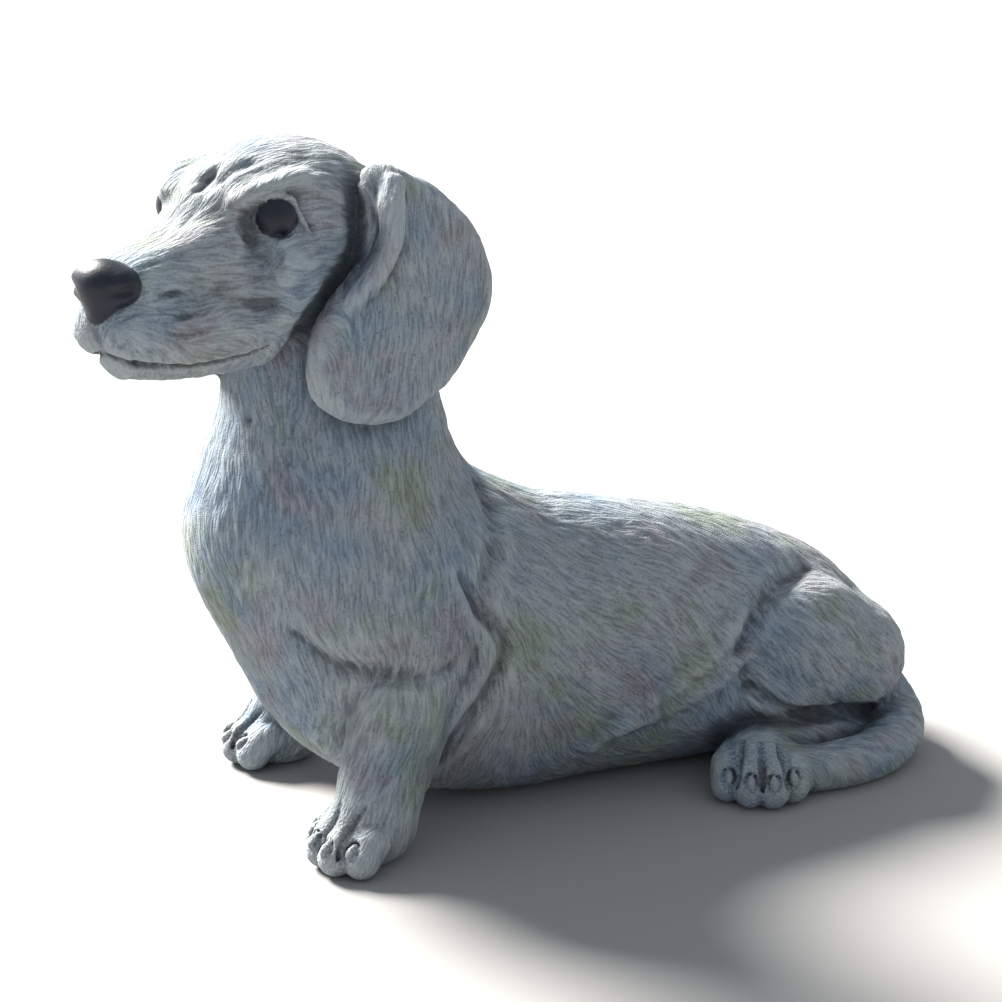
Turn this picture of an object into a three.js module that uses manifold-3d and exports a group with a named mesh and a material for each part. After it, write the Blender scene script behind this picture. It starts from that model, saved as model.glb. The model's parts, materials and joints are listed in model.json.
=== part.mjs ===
// A garden statue of a dachshund, cast in one piece in stone.
// It sits up on its forelegs with its belly and hindquarters on the ground, its head turned to its
// left, and its tail laid forward along its left thigh.
// Millimetres, +Z up, the nose towards -X, the dog's left towards -Y, origin on the ground in the
// middle of the box round the statue.
import * as THREE from "three";
import { mergeVertices } from "three/addons/utils/BufferGeometryUtils.js";
import Module from "manifold-3d";

// Driving dimensions.
const height = 332; // ground to the crown of the head
const headTurn = 34; // degrees, to the dog's left
const headLift = 4; // degrees, nose up
const eyeDiameter = 21;
const eyeSpacing = 60; // between the middles of the eyeballs
const nosePadWidth = 33;
const earThickness = 12;
const earFlare = 20; // degrees, the ear's back edge out from the skull
const pawSpacing = 132; // between the middles of the forepaws
const toeWidth = 17;
const tailThickness = 24; // at its middle

// The pose is laid out in parts, of which the height has 332. Sizes named above are put in parts.
const part = height / 332;
const eyeRadius = eyeDiameter / 2 / part;
const eyeSide = eyeSpacing / 2 / part;
const noseRadius = nosePadWidth / 2 / part;
const earRadius = earThickness / 2 / part;
const pawSide = pawSpacing / 2 / part;
const pawMiddle = 4; // the forepaws stand a little to the dog's right
const toeRadius = toeWidth / 2 / part;
const tailRadius = tailThickness / 2 / part;

// The grain of the model: the sampling step in parts, and the triangles kept afterwards.
const grain = 3.2;
const triangleBudget = 9500;

const clamp = THREE.MathUtils.clamp;
const length = (x, y, z) => Math.sqrt(x * x + y * y + z * z);
const degrees = THREE.MathUtils.degToRad;

// The distance to two bodies made one, with their seam filled over a width of blend.
function join(a, b, blend) {
  const h = Math.max(blend - Math.abs(a - b), 0) / blend;
  return Math.min(a, b) - h * h * blend * 0.25;
}

// An ellipsoid, of which turn gives the direction of its own axes.
function ball([cx, cy, cz], [rx, ry, rz], turn = new THREE.Quaternion()) {
  const back = turn.clone().invert();
  const v = new THREE.Vector3();
  const distance = (x, y, z) => {
    v.set(x - cx, y - cy, z - cz).applyQuaternion(back);
    const k0 = length(v.x / rx, v.y / ry, v.z / rz);
    const k1 = length(v.x / (rx * rx), v.y / (ry * ry), v.z / (rz * rz));
    return k1 > 1e-9 ? (k0 * (k0 - 1)) / k1 : -Math.min(rx, ry, rz);
  };
  return { distance, centre: [cx, cy, cz], reach: Math.max(rx, ry, rz) };
}

// A limb through knots [x, y, z, radius, fullness], rounded along a smooth curve. Fullness is
// its width in y as a share of its depth.
function limb(knots, stepsPerKnot = 3) {
  const path = new THREE.CatmullRomCurve3(knots.map(([x, y, z]) => new THREE.Vector3(x, y, z)));
  const sizes = knots.map(([, , , r, fullness = 1]) => new THREE.Vector3(r, fullness, 0));
  const girth = new THREE.CatmullRomCurve3(sizes);
  for (const curve of [path, girth]) curve.curveType = "catmullrom";
  const count = (knots.length - 1) * stepsPerKnot;
  const balls = Array.from({ length: count + 1 }, (_, i) => {
    const { x, y, z } = path.getPoint(i / count);
    const size = girth.getPoint(i / count);
    return { x, y, z, r: size.x, fullness: size.y };
  });
  const distance = (x, y, z) => {
    let nearest = Infinity;
    for (let i = 0; i < count; i++) {
      const a = balls[i];
      const b = balls[i + 1];
      const abx = b.x - a.x;
      const aby = b.y - a.y;
      const abz = b.z - a.z;
      const length2 = abx * abx + aby * aby + abz * abz;
      const dot = (x - a.x) * abx + (y - a.y) * aby + (z - a.z) * abz;
      const t = clamp(dot / length2, 0, 1);
      const fullness = a.fullness + (b.fullness - a.fullness) * t;
      const qx = x - a.x - abx * t;
      const qy = (y - a.y - aby * t) / fullness;
      const qz = z - a.z - abz * t;
      const q = length(qx, qy, qz);
      const slope = length(qx, qy / fullness, qz) / Math.max(q, 1e-9);
      const d = (q - a.r - (b.r - a.r) * t) / Math.max(slope, 1e-9);
      if (d < nearest) nearest = d;
    }
    return nearest;
  };
  const box = new THREE.Box3();
  for (const { x, y, z, r, fullness } of balls) {
    const pad = r * Math.max(1, fullness);
    box.expandByPoint(new THREE.Vector3(x - pad, y - pad, z - pad));
    box.expandByPoint(new THREE.Vector3(x + pad, y + pad, z + pad));
  }
  const sphere = box.getBoundingSphere(new THREE.Sphere());
  return { distance, centre: sphere.center.toArray(), reach: sphere.radius };
}

// A thick leaf in the x-z plane with a round rim, its outline a smooth curve through points [x, z].
// It is bowed, so that its rim lies further towards -y than its middle, by bow or a little more.
function leaf(outline, halfThickness, bow) {
  const points = outline.map(([x, z]) => new THREE.Vector3(x, 0, z));
  const curve = new THREE.CatmullRomCurve3(points, true, "catmullrom");
  const rim = curve.getPoints(3 * outline.length).slice(1);
  const box = new THREE.Box3().setFromPoints(rim);
  const middle = box.getCenter(new THREE.Vector3());
  const half = box.getSize(new THREE.Vector3()).multiplyScalar(0.5);
  const furthest = 1.6; // the rim's greatest spread from the middle, in halves squared
  const caution = 0.9; // the bow makes the distance look a little longer than it is
  const distance = (x, y, z) => {
    let nearest = Infinity;
    let within = false;
    for (let i = 0; i < rim.length; i++) {
      const a = rim[i];
      const b = rim[(i + 1) % rim.length];
      const ex = b.x - a.x;
      const ez = b.z - a.z;
      const t = clamp(((x - a.x) * ex + (z - a.z) * ez) / (ex * ex + ez * ez), 0, 1);
      nearest = Math.min(nearest, length(x - a.x - t * ex, 0, z - a.z - t * ez));
      if (a.z > z !== b.z > z && x < a.x + ((z - a.z) * ex) / ez) within = !within;
    }
    const across = (within ? -nearest : nearest) + halfThickness;
    const spread = ((x - middle.x) / half.x) ** 2 + ((z - middle.z) / half.z) ** 2;
    const through = Math.abs(y + bow * Math.min(spread, furthest));
    const outside = length(Math.max(across, 0), Math.max(through, 0), 0);
    return caution * (outside + Math.min(Math.max(across, through), 0) - halfThickness);
  };
  const reach = half.length() + halfThickness + 2 * Math.abs(bow);
  return { distance, centre: middle.toArray(), reach };
}

// The same shape laid in another frame, such as the head's.
function placed(shape, frame) {
  const back = frame.clone().invert();
  const v = new THREE.Vector3();
  const distance = (x, y, z) => {
    v.set(x, y, z).applyMatrix4(back);
    return shape.distance(v.x, v.y, v.z);
  };
  const centre = new THREE.Vector3(...shape.centre).applyMatrix4(frame).toArray();
  return { distance, centre, reach: shape.reach };
}

// A body modelled in steps: shapes added or carved in order, each run in over a width of blend.
class Clay {
  steps = [];
  add(shape, blend) {
    this.steps.push({ ...shape, blend, carved: false });
  }
  carve(shape, blend) {
    this.steps.push({ ...shape, blend, carved: true });
  }
  // The distance from the skin at a point in parts, negative inside.
  distance(x, y, z) {
    let d = 1e3;
    for (const { distance, centre, reach, blend, carved } of this.steps) {
      const room = length(x - centre[0], y - centre[1], z - centre[2]) - reach - blend;
      if (room > Math.abs(d)) continue;
      const one = distance(x, y, z);
      d = carved ? -join(-d, one, blend) : join(d, one, blend);
    }
    return d;
  }
  // The direction straight out of the skin near a point.
  outwards({ x, y, z }) {
    const h = 0.5;
    const slope = (dx, dy, dz) =>
      this.distance(x + dx, y + dy, z + dz) - this.distance(x - dx, y - dy, z - dz);
    return new THREE.Vector3(slope(h, 0, 0), slope(0, h, 0), slope(0, 0, h)).normalize();
  }
}

const statue = new Clay();
const add = (shape, blend) => statue.add(shape, blend);
const carve = (shape, blend) => statue.carve(shape, blend);

// A line along points of the skin, for a fold or a crease, thinner at its ends.
function skinLine(points, radius) {
  const last = points.length - 1;
  const knots = points.map(({ x, y, z }, i) => {
    const thinner = i === 0 || i === last ? 0.35 : 1;
    return [x, y, z, radius * thinner];
  });
  return limb(knots, 2);
}

// The points of the skin that show at [x, z] from one side, raised by lift.
function seenFrom(side, points, lift = 0) {
  const inwards = new THREE.Vector3(0, -side, 0);
  return points.map(([x, z]) => {
    const p = new THREE.Vector3(x, side * 130, z);
    for (let i = 0; i < 60; i++) p.addScaledVector(inwards, 0.8 * statue.distance(p.x, p.y, p.z));
    return p.addScaledVector(inwards, -lift);
  });
}

// The points of the skin nearest to points of the head's frame.
function onHeadSkin(points) {
  return points.map((point) => {
    const p = new THREE.Vector3(...point).applyMatrix4(headFrame);
    for (let i = 0; i < 12; i++)
      p.addScaledVector(statue.outwards(p), -0.9 * statue.distance(p.x, p.y, p.z));
    return p;
  });
}

const quaternion = (x, y, z) =>
  new THREE.Quaternion().setFromEuler(new THREE.Euler(degrees(x), degrees(y), degrees(z)));

// The trunk, its belly on the ground, and the neck.
function modelTrunk() {
  const trunk = limb(
    [
      [-84, 0, 143, 61, 0.88],
      [-54, 0, 85, 66, 0.9],
      [0, 0, 75, 75.7, 0.75],
      [43, 0, 71, 71.8, 0.78],
      [87, 0, 66.4, 67.2, 0.82],
      [121, 0, 61, 61.8, 0.9],
      [148, 0, 55, 55.8, 1],
      [164, 0, 49, 49.8, 1.06],
    ],
    5,
  );
  add(trunk, 1);
  add(ball([-34, 0, 118], [58, 53, 52], quaternion(0, 18, 0)), 16);
  add(
    limb([
      [-84, 0, 146, 59, 0.86],
      [-80, -2, 190, 54, 0.86],
      [-85, -6, 228, 43, 0.94],
      [-82, -10, 262, 42.5, 0.97],
    ]),
    24,
  );
}

// One foreleg: the shoulder and upper arm hang over the forearm, which stands out to the side.
function modelForeleg(side) {
  add(ball([-58, side * 38, 118], [41, 25, 37], quaternion(0, 22, 0)), 14);
  add(ball([-72, side * 40, 108], [28, 22, 21], quaternion(0, 12, 0)), 8);
  add(
    limb([
      [-56, side * 44, 88, 24, 0.85],
      [-66, side * 53, 66, 23, 0.82],
      [-74, pawMiddle + side * 59, 44, 21.5, 0.86],
      [-82, pawMiddle + side * pawSide, 24, 20, 0.95],
    ]),
    4,
  );
  modelPaw([-88, pawMiddle + pawSide * side, 0], side < 0 ? 196 : 165);
}

// A paw, in its own frame: origin on the ground under it, x towards the toes.
function modelPaw(place, heading) {
  const frame = new THREE.Matrix4().makeTranslation(...place);
  frame.multiply(new THREE.Matrix4().makeRotationZ(degrees(heading)));
  add(placed(ball([-2, 0, 14], [23, 2.2 * toeRadius, 17]), frame), 6);
  const toes = [
    [-1.75, 12],
    [-0.62, 19],
    [0.62, 20],
    [1.75, 13],
  ];
  for (const [across, forward] of toes) {
    const toe = limb([
      [-6, across * 0.75 * toeRadius, 18, toeRadius * 0.85],
      [forward - 7, across * toeRadius, 16, toeRadius * 1.02],
      [forward, across * 1.05 * toeRadius, 8.5, toeRadius],
    ]);
    add(placed(toe, frame), 1.6);
  }
}

// One hind leg, folded under: the thigh, the buttock, the shank and the foot out to the side.
function modelHindLeg(side) {
  add(ball([156, side * 36, 62], [41, 29, 36], quaternion(0, 10, 0)), 5);
  add(ball([186, side * 28, 50], [31, 32, 31]), 6);
  add(ball([138, side * 40, 44], [24, 21, 16]), 5);
  const shank = limb([
    [176, side * 40, 16, 15],
    [150, side * 46, 15, 15],
    [126, side * 54, 14, 15],
  ]);
  add(shank, 5);
  modelPaw([117, side * 65, 0], side < 0 ? -114 : 114);
}

// The tail, from the rump round to the dog's left and forward along the ground. However thick it
// is, it lies against the shank.
function modelTail() {
  const r = tailRadius;
  const tail = limb([
    [192, 8 - r, 38, r * 1.6],
    [209, -12 - r, r * 2, r * 1.4],
    [207, -36 - r, r * 1.25, r * 1.2],
    [188, -54 - r, r - 1, r * 1.05],
    [162, -62 - r, r - 1, r],
    [143, -62 - r, r - 1, r * 0.95],
  ]);
  add(tail, 9);
}

// The head's frame: origin at the tip of the nose, x back along the head, y to the dog's right.
const noseTip = [-211, -90, 287];
const headFrame = new THREE.Matrix4()
  .makeTranslation(...noseTip)
  .multiply(new THREE.Matrix4().makeRotationZ(degrees(headTurn)))
  .multiply(new THREE.Matrix4().makeRotationY(degrees(headLift)));
const onHead = (shape, blend) => add(placed(shape, headFrame), blend);
const offHead = (shape, blend) => carve(placed(shape, headFrame), blend);

function modelHead() {
  // Skull and bridge, its top flat between two edges.
  onHead(ball([124, 0, 13], [52, 43, 39]), 22);
  onHead(ball([92, 0, 14], [30, 31, 26]), 12);
  for (const side of [-1, 1]) {
    const bridge = limb([
      [24, side * 6.5, -5, 12.5],
      [40, side * 7.5, -2, 14],
      [60, side * 8.5, 2.5, 15.5],
      [84, side * 11, 7.5, 18],
    ]);
    onHead(bridge, 7);
  }
  // The lower jaw, thin under the lips.
  const jaw = limb([
    [24, 0, -35.5, 8, 1.15],
    [55, 0, -37, 10.5, 1.4],
    [92, 0, -29, 19, 1.4],
  ]);
  onHead(jaw, 3);
  for (const side of [-1, 1]) {
    // Lips, cheek, the hollows before the cheek and the eye, and the eye.
    const lips = limb([
      [19, side * 7, -22, 12.5],
      [42, side * 11, -24, 15.5],
      [70, side * 15, -22, 17],
    ]);
    onHead(lips, 8);
    onHead(ball([96, side * 20, -8], [30, 19, 26]), 12);
    onHead(ball([91, side * 32, 3], [15, 8, 8], quaternion(0, -20, 0)), 9);
    offHead(ball([60, side * 34, -12], [14, 6, 6], quaternion(0, 15, 0)), 8);
    offHead(ball([71, side * 24, 18], [8, 3.5, 8]), 8);
    modelEye(side);
  }
  modelNose();
  modelMouth();
  // The dent and the furrow between the brows.
  offHead(ball([88, -5, 46], [12, 3.5, 3], quaternion(0, -12, 0)), 4);
  const furrow = [
    [80, -9, 36],
    [92, -6, 40],
    [111, -4, 47],
  ];
  carve(skinLine(onHeadSkin(furrow), 1.6), 4);
}

// The brow, the eyeball, and the lids that run round it.
function modelEye(side) {
  const brow = limb([
    [72, side * 20, 28, 3],
    [83, side * 26, 33, 4],
    [99, side * 30.5, 34.5, 4.5],
    [116, side * 33, 28, 3.5],
  ]);
  onHead(brow, 8);
  const middle = new THREE.Vector3(87.5, side * (eyeSide - 4.5), 21);
  const gaze = new THREE.Vector3(-0.42, side, 0.02).normalize();
  const rear = new THREE.Vector3(side * gaze.y, -side * gaze.x, 0).normalize();
  const above = new THREE.Vector3().crossVectors(rear, gaze).multiplyScalar(side);
  // A limb over the eyeball through knots [angle round the gaze, angle off it, lift, radius].
  const ring = (knots) =>
    limb(
      knots.map(([round, off, lift, radius]) => {
        const knot = new THREE.Vector3()
          .addScaledVector(rear, Math.cos(degrees(round)) * Math.sin(degrees(off)))
          .addScaledVector(above, Math.sin(degrees(round)) * Math.sin(degrees(off)))
          .addScaledVector(gaze, Math.cos(degrees(off)))
          .multiplyScalar(eyeRadius + lift)
          .add(middle);
        return [...knot.toArray(), radius];
      }),
    );
  const opening = middle.clone().addScaledVector(gaze, 0.8 * eyeRadius);
  offHead(ball(opening.toArray(), [eyeRadius, eyeRadius, eyeRadius]), 2.5);
  onHead(ball(middle.toArray(), [eyeRadius, eyeRadius, eyeRadius]), 0.5);
  const lowerLid = ring([
    [190, 67, 0, 1.2],
    [235, 66, 0, 1.8],
    [280, 66, 0, 1.9],
    [320, 67, 0, 1.6],
    [345, 72, 0.3, 1],
  ]);
  const upperLid = ring([
    [190, 66, 0, 1.2],
    [150, 62, 0.5, 1.9],
    [105, 60, 0.9, 2.2],
    [60, 61, 0.9, 2.2],
    [15, 64, 0.9, 2],
    [-16, 74, 1.2, 1.7],
    [-32, 92, 2, 1.2],
  ]);
  onHead(lowerLid, 2);
  onHead(upperLid, 1.6);
}

// The nose pad, broad above and narrow below, with a nostril at each side.
function modelNose() {
  const lobe = 8;
  const lobeSide = noseRadius - lobe;
  const pad = new Clay();
  const top = limb([
    [12.5, -lobeSide, -3.5, lobe],
    [11, 0, -2.5, 8.5],
    [12.5, lobeSide, -3.5, lobe],
  ]);
  pad.add(top, 1);
  pad.add(limb([[12, 0, -4, 10], [12.5, 0, -13.5, 7.8]]), 5);
  for (const side of [-1, 1]) {
    const nostril = limb([
      [4, side * (lobeSide + 0.5), -6, 1],
      [6, side * (lobeSide + 4), -5, 2],
      [12, side * (lobeSide + 8.5), -3.5, 1.4],
    ]);
    pad.carve(nostril, 2);
  }
  const distance = (x, y, z) => pad.distance(x, y, z);
  onHead({ distance, centre: [12.5, 0, -7], reach: 14 + noseRadius }, 1.2);
}

// The line between the lips, and the cleft under the nose.
function modelMouth() {
  const cleft = [
    [3, 0, -21],
    [6, 0, -26],
    [10, 0, -32],
  ];
  carve(skinLine(onHeadSkin(cleft), 1.5), 2.5);
  for (const side of [-1, 1]) {
    const line = [
      [9, side, -33],
      [12, side * 8, -36],
      [22, side * 14, -38.5],
      [37, side * 18, -41],
      [57, side * 22, -41.5],
      [73, side * 27, -39.5],
      [82, side * 30, -36.5],
    ];
    carve(skinLine(onHeadSkin(line), 1.9), 2.5);
  }
}

// An ear: a leaf hung from the side of the skull, its front edge folded over, its back edge free.
// Its frame has x towards the back edge, y to the dog's right and z up.
function modelEar(side) {
  const near = side < 0;
  const frame = headFrame
    .clone()
    .multiply(new THREE.Matrix4().makeTranslation(near ? 144 : 150, side * 55, -16))
    .multiply(new THREE.Matrix4().makeRotationZ(degrees(side * earFlare)));
  const inEar = (shape) => placed(shape, frame);
  // The deep gap between the cheek and the front edge. The far one ends above the jaw.
  const gap = [
    [-25, -side * 7, 50, 3.5],
    [-26, -side * 8, 20, 5],
    [-39, -side * 8, 2, 6.5],
    [-51, -side * 8, -14, 7],
    [-52, -side * 6, -32, 5],
  ];
  carve(inEar(limb(near ? gap : gap.slice(0, 2))), 9);
  add(inEar(ball([8, -side * 13, 3], [27, 17, 48])), 8);
  // The rim, from the top of the front edge down and round. The far ear hangs less low.
  const drop = near ? 1 : 0.8;
  const outline = [
    [-19, 55],
    [-20, 36],
    [-21, 19],
    [-33, 5],
    [-43.5, -11 * drop],
    [-46, -28 * drop],
    [-42, -43 * drop],
    [-31, -52 * drop],
    [-17, -56 * drop],
    [0, -55 * drop],
    [15, -47.5 * drop],
    [29, -37 * drop],
    [40.5, -21 * drop],
    [48.5, -9 * drop],
    [50.5, 2],
    [45.5, 20],
    [30, 38],
    [6, 52],
    [-8, 58],
  ];
  const bow = side * 7;
  add(inEar(leaf(outline, earRadius, bow)), 7);
  // The fold along the top of the front edge, and the crease behind it.
  const fold = limb([
    [-10, side * 3, 50, 5],
    [-14, side * 7, 40, 6],
    [-13.5, side * 7.5, 26, 5],
    [-20, side * 5.5, 12, 4.5],
    [-30, side * 3, 0, 3.5],
  ]);
  add(inEar(fold), 4);
  const crease = limb([
    [1, side * 8, 46, 1.5],
    [-2, side * 9.5, 38, 2.6],
    [-3, side * 10, 27, 2.4],
    [-9, side * 9, 16, 1],
  ]);
  carve(inEar(crease), 4);
}

// Folds and creases of the skin on one side, each through points [x, z].
function modelFolds(side) {
  const crease = (points, radius, blend) => carve(skinLine(seenFrom(side, points), radius), blend);
  const fold = (points, radius, blend) =>
    add(skinLine(seenFrom(side, points, -0.4 * radius), radius), blend);
  const behindShoulder = [
    [-14, 162],
    [-12, 150],
    [-16, 138],
    [-23, 125],
    [-30, 114],
  ];
  crease(behindShoulder, 2.6, 9);
  const elbow = [
    [-44, 134],
    [-41, 122],
    [-34, 109],
    [-26, 98],
    [-25, 86],
    [-33, 74],
    [-46, 55],
    [-57, 32],
  ];
  fold(elbow, 2.8, 6);
  const behindElbow = [
    [-38, 130],
    [-32, 118],
    [-24, 107],
    [-16, 97],
    [-16, 86],
    [-24, 72],
    [-37, 52],
    [-48, 30],
  ];
  crease(behindElbow, 2.4, 6);
  const underArm = [
    [-114, 108],
    [-102, 96],
    [-90, 90],
    [-71, 88],
    [-56, 87],
    [-45, 88],
  ];
  crease(underArm, 2.6, 7);
  const beforeThigh = [
    [160, 101],
    [147, 100],
    [133, 96],
    [122, 88],
    [115, 77],
    [112, 65],
    [116, 53],
  ];
  crease(beforeThigh, 3, 8);
  const underThigh = [
    [118, 51],
    [133, 38],
    [151, 31],
    [168, 29],
    [184, 27],
    [200, 26],
  ];
  crease(underThigh, 3, 6);
  const flank = [
    [113, 88],
    [96, 71],
    [76, 57],
    [54, 46],
    [36, 30],
  ];
  fold(flank, 2.6, 8);
  const lowFlank = [
    [116, 68],
    [98, 57],
    [74, 46],
    [48, 38],
  ];
  fold(lowFlank, 2.2, 7);
}

modelTrunk();
for (const side of [-1, 1]) {
  modelForeleg(side);
  modelHindLeg(side);
}
modelFolds(-1);
modelFolds(1);
modelTail();
modelHead();
modelEar(-1);
modelEar(1);

// Samples the distance on a grid, closely only in the blocks near the skin.
function sample(clay, { min, max }, step) {
  const low = min.toArray();
  const high = max.toArray();
  const [nx, ny, nz] = low.map((l, i) => Math.ceil((high[i] - l) / step) + 1);
  const values = new Float32Array(nx * ny * nz).fill(1e3);
  const block = 4;
  const reach = 0.5 * Math.sqrt(3) * block * step;
  for (let bx = 0; bx < nx; bx += block)
    for (let by = 0; by < ny; by += block)
      for (let bz = 0; bz < nz; bz += block) {
        const middle = [bx, by, bz].map((b, i) => low[i] + (b + block / 2 - 0.5) * step);
        const whole = clay.distance(...middle);
        const near = Math.abs(whole) < reach * 1.3;
        for (let i = bx; i < Math.min(bx + block, nx); i++)
          for (let j = by; j < Math.min(by + block, ny); j++)
            for (let k = bz; k < Math.min(bz + block, nz); k++) {
              const x = low[0] + i * step;
              const y = low[1] + j * step;
              const z = low[2] + k * step;
              values[(i * ny + j) * nz + k] = near ? clay.distance(x, y, z) : whole;
            }
      }
  return { low, step, counts: [nx, ny, nz], values };
}

// The closed skin where the sampled distance is zero: each cube of the grid is split into six
// tetrahedra round its long diagonal, and each of them is cut by a triangle or two.
function skin({ low, step, counts, values }) {
  const [nx, ny, nz] = counts;
  const corners = [0, 1, nz, nz + 1, ny * nz, ny * nz + 1, ny * nz + nz, ny * nz + nz + 1];
  const tetrahedra = [
    [0, 1, 3, 7],
    [0, 3, 2, 7],
    [0, 2, 6, 7],
    [0, 6, 4, 7],
    [0, 4, 5, 7],
    [0, 5, 1, 7],
  ];
  const points = [];
  const triangles = [];
  const made = new Map();
  const place = (at) => {
    const k = at % nz;
    const j = Math.floor(at / nz) % ny;
    const i = Math.floor(at / (nz * ny));
    return new THREE.Vector3(low[0] + i * step, low[1] + j * step, low[2] + k * step);
  };
  const crossing = (inner, outer) => {
    const key = Math.min(inner, outer) * values.length + Math.max(inner, outer);
    if (!made.has(key)) {
      const share = values[inner] / (values[inner] - values[outer]);
      made.set(key, points.length);
      points.push(place(inner).lerp(place(outer), clamp(share, 0.08, 0.92)));
    }
    return made.get(key);
  };
  const side = new THREE.Vector3();
  const other = new THREE.Vector3();
  for (let i = 0; i + 1 < nx; i++)
    for (let j = 0; j + 1 < ny; j++)
      for (let k = 0; k + 1 < nz; k++) {
        const cube = corners.map((c) => (i * ny + j) * nz + k + c);
        const within = cube.filter((c) => values[c] < 0).length;
        if (within === 0 || within === 8) continue;
        for (const tetrahedron of tetrahedra) {
          const inner = tetrahedron.map((c) => cube[c]).filter((c) => values[c] < 0);
          const outer = tetrahedron.map((c) => cube[c]).filter((c) => values[c] >= 0);
          if (inner.length === 0 || outer.length === 0) continue;
          const cuts = inner.flatMap((a) => outer.map((b) => crossing(a, b)));
          const outwards = place(outer[0]).sub(place(inner[0]));
          const faces = [[cuts[0], cuts[1], cuts.at(-1)]];
          if (cuts.length === 4) faces.push([cuts[0], cuts[3], cuts[2]]);
          for (const [a, b, c] of faces) {
            side.subVectors(points[b], points[a]);
            other.subVectors(points[c], points[a]);
            const facing = side.cross(other).dot(outwards) > 0;
            triangles.push(facing ? [a, b, c] : [a, c, b]);
          }
        }
      }
  return { points, triangles };
}

// A heap that gives back the cheapest of its entries [cost, ...] first.
class Heap {
  entries = [];
  push(entry) {
    const { entries } = this;
    let at = entries.push(entry) - 1;
    while (at > 0) {
      const above = (at - 1) >> 1;
      if (entries[above][0] <= entries[at][0]) break;
      [entries[above], entries[at]] = [entries[at], entries[above]];
      at = above;
    }
  }
  pop() {
    const { entries } = this;
    const first = entries[0];
    const last = entries.pop();
    if (entries.length === 0) return first;
    entries[0] = last;
    for (let at = 0; ; ) {
      let least = at;
      for (const below of [2 * at + 1, 2 * at + 2])
        if (below < entries.length && entries[below][0] < entries[least][0]) least = below;
      if (least === at) return first;
      [entries[least], entries[at]] = [entries[at], entries[least]];
      at = least;
    }
  }
}

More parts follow.
